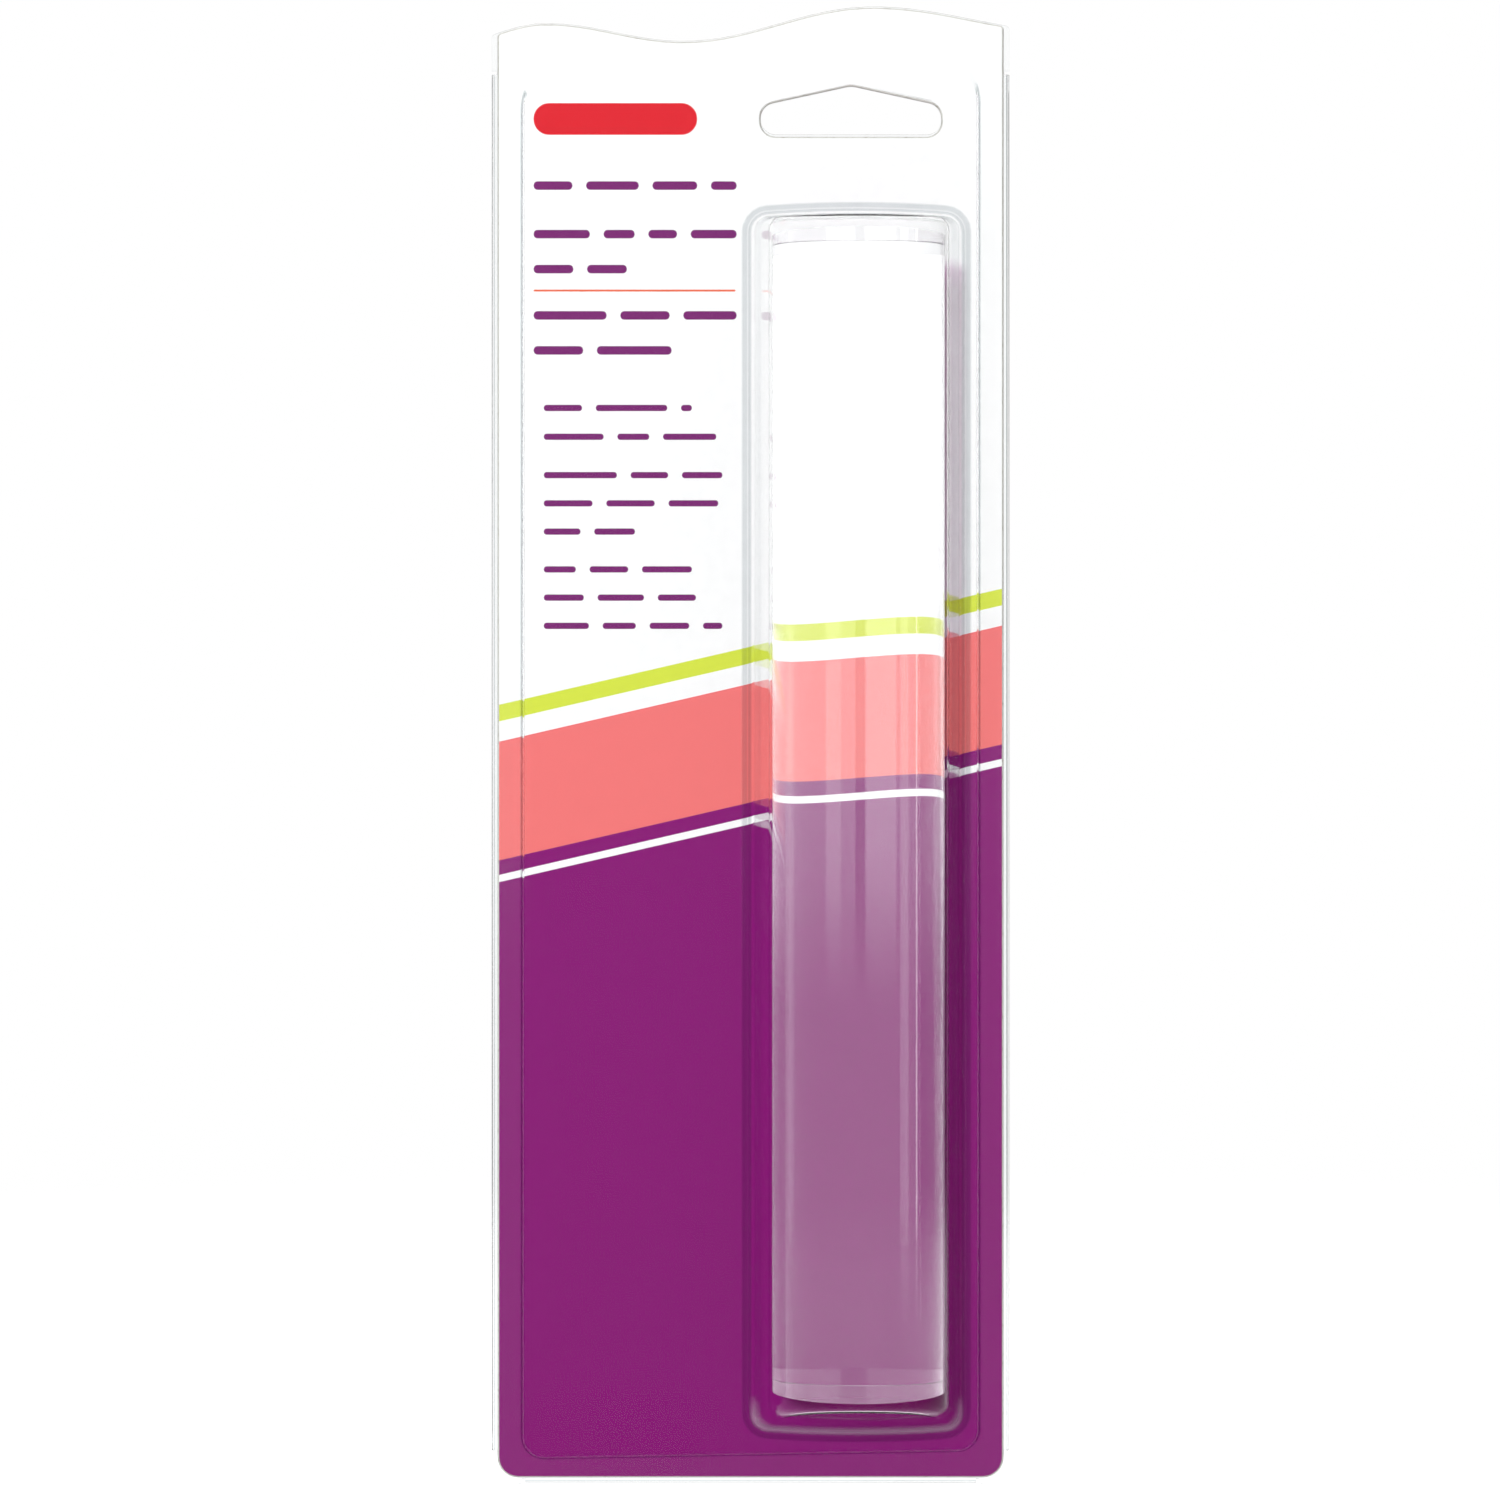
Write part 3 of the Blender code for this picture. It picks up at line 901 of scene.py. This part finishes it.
class CardSettings(bpy.types.PropertyGroup):
    """Colours of the card, the place of its stripes and the round that the die leaves on its edges."""

    edge_round: bpy.props.FloatProperty(
        name="Edge round",
        description="Width of the round that the cutting die leaves on the front edges",
        default=0.5 * MM,
        unit="LENGTH",
    )
    slant: bpy.props.FloatProperty(
        name="Slant",
        description="How steeply the stripes rise to the right",
        default=math.radians(13),
        subtype="ANGLE",
    )
    stripes_start: bpy.props.FloatProperty(
        name="Stripes start",
        description="Distance from the hang hole to the first stripe, square to the stripes",
        default=92 * MM,
        unit="LENGTH",
    )
    stripes_depth: bpy.props.FloatProperty(
        name="Stripes depth",
        description="Distance from the first stripe to the plain ground",
        default=32 * MM,
        unit="LENGTH",
    )
    paper: bpy.props.FloatVectorProperty(
        name="Paper",
        description="Colour of the coated board with no ink",
        default=linear("#fcfcfc"),
        subtype="COLOR",
    )
    ground: bpy.props.FloatVectorProperty(
        name="Ground",
        description="Colour of the lower part",
        default=linear("#861272"),
        subtype="COLOR",
    )
    band: bpy.props.FloatVectorProperty(
        name="Band",
        description="Colour of the broad stripe",
        default=linear("#f27878"),
        subtype="COLOR",
    )
    accent: bpy.props.FloatVectorProperty(
        name="Accent",
        description="Colour of the narrow stripe",
        default=linear("#d5e349"),
        subtype="COLOR",
    )
    pulp: bpy.props.FloatVectorProperty(
        name="Pulp",
        description="Colour of the raw board, behind and at its edges",
        default=linear("#d9d7d2"),
        subtype="COLOR",
    )
    fleck: bpy.props.FloatVectorProperty(
        name="Fleck",
        description="Colour of the fibres that fleck the raw board",
        default=linear("#b4aea4"),
        subtype="COLOR",
    )


class PrintSettings(bpy.types.PropertyGroup):
    """Sizes of the printed rows, and inks of the rows, the bar and the rule."""

    left: bpy.props.FloatProperty(
        name="Left",
        description="Distance of the rows from the card's left edge",
        default=6.4 * MM,
        unit="LENGTH",
    )
    width: bpy.props.FloatProperty(
        name="Width",
        description="Longest row",
        default=36 * MM,
        unit="LENGTH",
    )
    heading_stroke: bpy.props.FloatProperty(
        name="Heading stroke",
        description="Height of the dashes in the heading",
        default=1.5 * MM,
        unit="LENGTH",
    )
    note_stroke: bpy.props.FloatProperty(
        name="Note stroke",
        description="Height of the dashes in the notes",
        default=1.1 * MM,
        unit="LENGTH",
    )
    ink: bpy.props.FloatVectorProperty(
        name="Ink",
        description="Colour of the rows",
        default=linear("#78286e"),
        subtype="COLOR",
    )
    mark: bpy.props.FloatVectorProperty(
        name="Mark",
        description="Colour of the plain bar at the top",
        default=linear("#dc2430"),
        subtype="COLOR",
    )
    rule: bpy.props.FloatVectorProperty(
        name="Rule",
        description="Colour of the thin line through the heading",
        default=linear("#eb6e50"),
        subtype="COLOR",
    )


class StageSettings(bpy.types.PropertyGroup):
    """Camera, floor and lights."""

    camera_distance: bpy.props.FloatProperty(
        name="Camera distance",
        description="From the card's front face to the camera",
        default=717 * MM,
        unit="LENGTH",
    )
    camera_x: bpy.props.FloatProperty(
        name="Camera across",
        description="Camera's place from left to right",
        default=-17.9 * MM,
        unit="LENGTH",
    )
    camera_z: bpy.props.FloatProperty(
        name="Camera height",
        description="Camera's height, from the hang hole",
        default=-117.6 * MM,
        unit="LENGTH",
    )
    view_angle: bpy.props.FloatProperty(
        name="View angle",
        description="Angle that the picture takes in",
        default=math.radians(21),
        subtype="ANGLE",
    )
    ambient: bpy.props.FloatProperty(
        name="Ambient",
        description="Light that the white room throws on the object",
        default=0.08,
    )
    floor_lift: bpy.props.FloatProperty(
        name="Floor lift",
        description="Light added to the floor so that it ends as white as the room",
        default=0.88,
    )
    floor_near: bpy.props.FloatProperty(
        name="Floor near",
        description="How far from the origin the floor starts to fade into the white room",
        default=0.3,
        unit="LENGTH",
    )
    floor_far: bpy.props.FloatProperty(
        name="Floor far",
        description="How far from the origin the floor is gone",
        default=0.6,
        unit="LENGTH",
    )


def build_roller(settings):
    """The rod, as a cylinder with rounded ends that stands where the CAD rod does."""
    low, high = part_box("roller")
    radius = (high.x - low.x) / 2
    foot = Vector(((low.x + high.x) / 2, (low.y + high.y) / 2, low.z))
    rod = add_piece("clear_rod")
    tree = make_rod_tree(make_cast_acrylic(settings))
    values = {
        "Radius": radius,
        "Length": high.z - low.z,
        "Sides": settings.sides,
        "Foot": foot,
    }
    run_tree(rod, tree, values)
    edge = rod.modifiers.new("edge_break", "BEVEL")
    edge.width = settings.edge_break
    edge.segments = ROD_EDGE_STEPS
    edge.limit_method = "ANGLE"
    edge.harden_normals = True
    plain_mesh(rod)
    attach(rod, "rod")
    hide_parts("roller")


def merged_copy(node, material):
    """A CAD node's mesh with its loose triangles joined, as a new mesh and its bmesh."""
    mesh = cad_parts[node].data.copy()
    mesh.materials.clear()
    mesh.materials.append(material)
    merged = bmesh.new()
    merged.from_mesh(mesh)
    bmesh.ops.remove_doubles(merged, verts=merged.verts, dist=MERGE_WIDTH)
    return mesh, merged


def add_smooth(name, mesh, merged, crease):
    """Adds a piece from its bmesh, smooth but for its creases."""
    merged.to_mesh(mesh)
    merged.free()
    mesh.shade_smooth()
    mesh.set_sharp_from_angle(angle=crease)
    thing = add_piece(name, mesh)
    even = thing.modifiers.new("even_normals", "WEIGHTED_NORMAL")
    even.weight = 100
    even.keep_sharp = True
    return plain_mesh(thing)


def build_shell(settings):
    """The film shell, as a smoothed copy of the CAD shell."""
    mesh, merged = merged_copy("blister_shell", make_formed_film(settings))
    shell = add_smooth("film_shell", mesh, merged, settings.crease)
    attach(shell, "blister")
    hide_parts("blister_shell")


def build_card(settings):
    """The printed card, as a copy of the CAD card with the front edges that the die rounded."""
    mesh, merged = merged_copy("backing_card", make_printed_board(settings))
    bmesh.ops.dissolve_limit(merged, angle_limit=math.radians(1), verts=merged.verts, edges=merged.edges)
    rim = [
        edge
        for edge in merged.edges
        if min(face.normal.y for face in edge.link_faces) < FLAT_FACING
        and max(face.normal.y for face in edge.link_faces) > EDGE_FACING
    ]
    bmesh.ops.bevel(
        merged,
        geom=rim,
        offset=settings.edge_round,
        offset_type="OFFSET",
        affect="EDGES",
        segments=CARD_EDGE_STEPS,
        profile=0.5,
        clamp_overlap=False,
    )
    card = add_smooth("printed_card", mesh, merged, CARD_CREASE)
    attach(card, "card")
    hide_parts("backing_card")


def add_lines(thing, settings, rows, seed):
    """Draws each row as lines of chance lengths. A row is (height, start, share of width)."""
    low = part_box("backing_card")[0]
    left = low.x + settings.left
    chance = random.Random(seed)
    lines = bmesh.new()
    for height, indent, share in rows:
        x = left + indent
        end = left + settings.width * share
        while x < end:
            length = min(chance.uniform(*DASH_LENGTHS), end - x)
            if end - x - length < LEAST_REST:
                length = end - x
            pair = [lines.verts.new((side, low.y, height)) for side in (x, x + length)]
            lines.edges.new(pair)
            x += length + DASH_GAP
    lines.to_mesh(thing.data)
    lines.free()


def finish_print(thing, tree, stroke):
    """Turns lines into dashes, and lets them move with the card."""
    run_tree(thing, tree, {"Stroke": stroke, "Ink": INK_DEPTH, "Step": DASH_STEP})
    plain_mesh(thing)
    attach(thing, "card")


def build_rows(settings):
    """The heading and the notes, as rows of dashes, with a bar above and a thin rule."""
    ink = make_ink("offset_ink_purple", settings.ink)
    heading = add_piece("heading_rows")
    add_lines(heading, settings, HEADING_ROWS, HEADING_SEED)
    finish_print(heading, make_dash_tree("heading_dashes", ink), settings.heading_stroke)
    notes = add_piece("note_rows")
    add_lines(notes, settings, NOTE_ROWS, NOTE_SEED)
    finish_print(notes, make_dash_tree("note_dashes", ink), settings.note_stroke)
    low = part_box("backing_card")[0]
    left = low.x + settings.left
    bars = (
        ("red_bar", "offset_ink_red", settings.mark, *MARK_BAR),
        ("thin_rule", "offset_ink_orange", settings.rule, *THIN_RULE),
    )
    for name, finish, colour, stroke, height, length in bars:
        bar = add_piece(name)
        line = bmesh.new()
        line.edges.new([line.verts.new((x, low.y, height)) for x in (left, left + length)])
        line.to_mesh(bar.data)
        line.free()
        finish_print(bar, make_dash_tree(name + "_dash", make_ink(finish, colour)), stroke)


def make_floor(settings):
    """Matt white painted board, lifted a little so that it meets the white room."""
    material, tree = start_material("painted_board_white")
    place = add_node(tree, "ShaderNodeTexCoord").outputs["Object"]
    grain = add_node(
        tree,
        "ShaderNodeTexNoise",
        {},
        {"Vector": place, "Scale": 1 / (4 * MM), "Detail": 3.0},
    )
    shade = add_node(
        tree,
        "ShaderNodeMapRange",
        {},
        {"Value": grain.outputs["Fac"], "To Min": 0.43, "To Max": 0.46},
    )
    seen = any_ray(tree, "Is Camera Ray", "Is Transmission Ray", "Is Glossy Ray")
    lift = add_node(
        tree,
        "ShaderNodeMath",
        {"operation": "MULTIPLY"},
        {0: seen, 1: settings.floor_lift},
    )
    body = add_node(
        tree,
        "ShaderNodeBsdfPrincipled",
        {},
        {
            "Base Color": shade.outputs["Result"],
            "Roughness": 0.9,
            "Emission Color": (1, 1, 1, 1),
            "Emission Strength": lift.outputs[0],
        },
    )
    away = add_node(tree, "ShaderNodeVectorMath", {"operation": "LENGTH"}, {0: place})
    faded = add_node(
        tree,
        "ShaderNodeMapRange",
        {"interpolation_type": "SMOOTHSTEP"},
        {"Value": away.outputs["Value"], "From Min": settings.floor_near, "From Max": settings.floor_far},
    )
    hidden = add_node(
        tree,
        "ShaderNodeMath",
        {"operation": "MULTIPLY"},
        {0: faded.outputs["Result"], 1: seen},
    )
    gone = add_node(tree, "ShaderNodeBsdfTransparent")
    both = add_node(
        tree,
        "ShaderNodeMixShader",
        {},
        {0: hidden.outputs[0], 1: body.outputs[0], 2: gone.outputs[0]},
    )
    end_material(tree, both)
    return material


def set_world(settings):
    """A white room: white where it is seen, and at a plain level where it gives light."""
    world = bpy.data.worlds.new("white_room")
    bpy.context.scene.world = world
    world.use_nodes = True
    tree = world.node_tree
    tree.nodes.clear()
    seen = any_ray(tree, "Is Camera Ray", "Is Transmission Ray", "Is Glossy Ray")
    strength = add_node(
        tree,
        "ShaderNodeMapRange",
        {},
        {"Value": seen, "To Min": settings.ambient, "To Max": 1.0},
    )
    sky = add_node(
        tree,
        "ShaderNodeBackground",
        {},
        {"Color": (1, 1, 1, 1), "Strength": strength.outputs["Result"]},
    )
    add_node(tree, "ShaderNodeOutputWorld", {}, {"Surface": sky.outputs[0]})


def add_lamp(name, azimuth, distance, bottom, top, width, brightness, fade=1 * MM):
    """A soft box that faces the rod's axis, and fades at its foot. At azimuth 0 it is straight in front."""
    around = math.radians(azimuth)
    place = LAMP_AXIS + distance * Vector((math.sin(around), -math.cos(around), 0))
    place.z = (bottom + top) / 2
    lamp = bpy.data.lights.new(name, "AREA")
    lamp.shape = "RECTANGLE"
    lamp.size = width
    lamp.size_y = top - bottom
    lamp.energy = brightness * math.pi * lamp.size * lamp.size_y
    thing = bpy.data.objects.new(name, lamp)
    thing.location = place
    level = Vector((LAMP_AXIS.x, LAMP_AXIS.y, place.z))
    thing.rotation_euler = (level - place).to_track_quat("-Z", "Y").to_euler()
    lamp.use_nodes = True
    tree = lamp.node_tree
    tree.nodes.clear()
    spot = add_node(tree, "ShaderNodeNewGeometry").outputs["Parametric"]
    share = add_node(tree, "ShaderNodeSeparateXYZ", {}, {"Vector": spot}).outputs["Y"]
    strength = add_node(
        tree,
        "ShaderNodeMapRange",
        {"interpolation_type": "SMOOTHSTEP"},
        {"Value": share, "From Max": fade / (top - bottom)},
    )
    glow = add_node(tree, "ShaderNodeEmission", {}, {"Strength": strength.outputs["Result"]})
    add_node(tree, "ShaderNodeOutputLight", {}, {"Surface": glow.outputs[0]})
    thing.visible_camera = False
    bpy.context.scene.collection.objects.link(thing)
    return thing


def add_flag(place, size, shade):
    """A dark sheet beside the pack, edge on to it, which only clear pieces show: a painted dark reflection
    in the rod and the film.
    """
    material, tree = start_material("dark_reflection_sheet")
    end_material(tree, add_node(tree, "ShaderNodeEmission", {}, {"Color": (shade, shade, shade, 1)}))
    cloth = bmesh.new()
    bmesh.ops.create_grid(cloth, x_segments=1, y_segments=1, size=size / 2)
    upright = Matrix.Rotation(math.radians(90), 4, "Y")
    bmesh.ops.transform(cloth, matrix=Matrix.Translation(place) @ upright, verts=cloth.verts)
    flag = add_piece("right_flag")
    cloth.to_mesh(flag.data)
    cloth.free()
    flag.data.materials.append(material)
    flag.visible_camera = False
    flag.visible_diffuse = False
    flag.visible_shadow = False


def build_stage(settings):
    """Floor, white room, soft boxes and camera."""
    low, high = CAD_BOUNDS
    sheet = bmesh.new()
    bmesh.ops.create_grid(sheet, x_segments=FLOOR_SQUARES, y_segments=FLOOR_SQUARES, size=FLOOR_HALF)
    bmesh.ops.translate(sheet, verts=sheet.verts, vec=(0, 0, low.z - FLOOR_GAP))
    floor = add_piece("floor")
    sheet.to_mesh(floor.data)
    sheet.free()
    floor.data.materials.append(make_floor(settings))
    floor.visible_glossy = False
    set_world(settings)
    for box in MIRRORED_BOXES:
        add_lamp(*box).visible_diffuse = False
    key, crown, back = [add_lamp(*box) for box in (KEY_BOX, CROWN_BOX, BACK_BOX)]
    for lamp in (key, crown, back):
        lamp.visible_glossy = False
        lamp.visible_transmission = False
    aim = Vector((0, 0, (low.z + high.z) / 2)) - key.location
    key.rotation_euler = aim.to_track_quat("-Z", "Y").to_euler()
    crown.rotation_euler = (0, 0, 0)
    # Painted dark reflection: a dark sheet to the right that only the clear pieces mirror
    add_flag(place=(0.8, 1.05, -0.1), size=2.4, shade=0.03)
    camera = bpy.data.objects.new("camera", bpy.data.cameras.new("camera"))
    bpy.context.scene.collection.objects.link(camera)
    camera.data.angle = settings.view_angle
    camera.location = (settings.camera_x, -settings.camera_distance, settings.camera_z)
    camera.rotation_euler = (math.radians(90), 0, 0)
    bpy.context.scene.camera = camera
    bpy.context.scene.view_settings.view_transform = "Standard"


class PACK_OT_build_roller(bpy.types.Operator):
    """Builds the clear rod"""

    bl_idname = "pack.build_roller"
    bl_label = "Build Rod"

    def execute(self, context):
        build_roller(context.scene.pack_roller)
        return {"FINISHED"}


class PACK_OT_build_shell(bpy.types.Operator):
    """Builds the clear film shell"""

    bl_idname = "pack.build_shell"
    bl_label = "Build Shell"

    def execute(self, context):
        build_shell(context.scene.pack_shell)
        return {"FINISHED"}


class PACK_OT_build_card(bpy.types.Operator):
    """Prints the card"""

    bl_idname = "pack.build_card"
    bl_label = "Print Card"

    def execute(self, context):
        build_card(context.scene.pack_card)
        return {"FINISHED"}


class PACK_OT_build_rows(bpy.types.Operator):
    """Prints the rows, the bar and the rule"""

    bl_idname = "pack.build_rows"
    bl_label = "Print Rows"

    def execute(self, context):
        build_rows(context.scene.pack_print)
        return {"FINISHED"}


class PACK_OT_build_stage(bpy.types.Operator):
    """Builds the floor, lights and camera"""

    bl_idname = "pack.build_stage"
    bl_label = "Build Stage"

    def execute(self, context):
        build_stage(context.scene.pack_stage)
        return {"FINISHED"}


class PACK_PT_panel(bpy.types.Panel):
    """Lists the settings and the operators"""

    bl_label = "Roller Pack"
    bl_idname = "PACK_PT_panel"
    bl_space_type = "VIEW_3D"
    bl_region_type = "UI"
    bl_category = "Roller Pack"

    def draw(self, context):
        for holder, _, operator in GROUPS:
            box = self.layout.box()
            settings = getattr(context.scene, holder)
            for name in settings.bl_rna.properties.keys():
                if name not in ("rna_type", "name"):
                    box.prop(settings, name)
            box.operator(operator.bl_idname)


GROUPS = (
    ("pack_roller", RollerSettings, PACK_OT_build_roller),
    ("pack_shell", ShellSettings, PACK_OT_build_shell),
    ("pack_card", CardSettings, PACK_OT_build_card),
    ("pack_print", PrintSettings, PACK_OT_build_rows),
    ("pack_stage", StageSettings, PACK_OT_build_stage),
)


def register():
    """Registers the classes, and gives the scene its settings."""
    for holder, settings, operator in GROUPS:
        bpy.utils.register_class(settings)
        bpy.utils.register_class(operator)
        setattr(bpy.types.Scene, holder, bpy.props.PointerProperty(type=settings))
    bpy.utils.register_class(PACK_PT_panel)


def unregister():
    """Takes the settings and the classes away again."""
    bpy.utils.unregister_class(PACK_PT_panel)
    for holder, settings, operator in reversed(GROUPS):
        delattr(bpy.types.Scene, holder)
        bpy.utils.unregister_class(operator)
        bpy.utils.unregister_class(settings)


def main():
    """Builds every piece and the stage."""
    register()
    bpy.ops.pack.build_roller()
    bpy.ops.pack.build_shell()
    bpy.ops.pack.build_card()
    bpy.ops.pack.build_rows()
    bpy.ops.pack.build_stage()


if __name__ == "__main__":
    main()
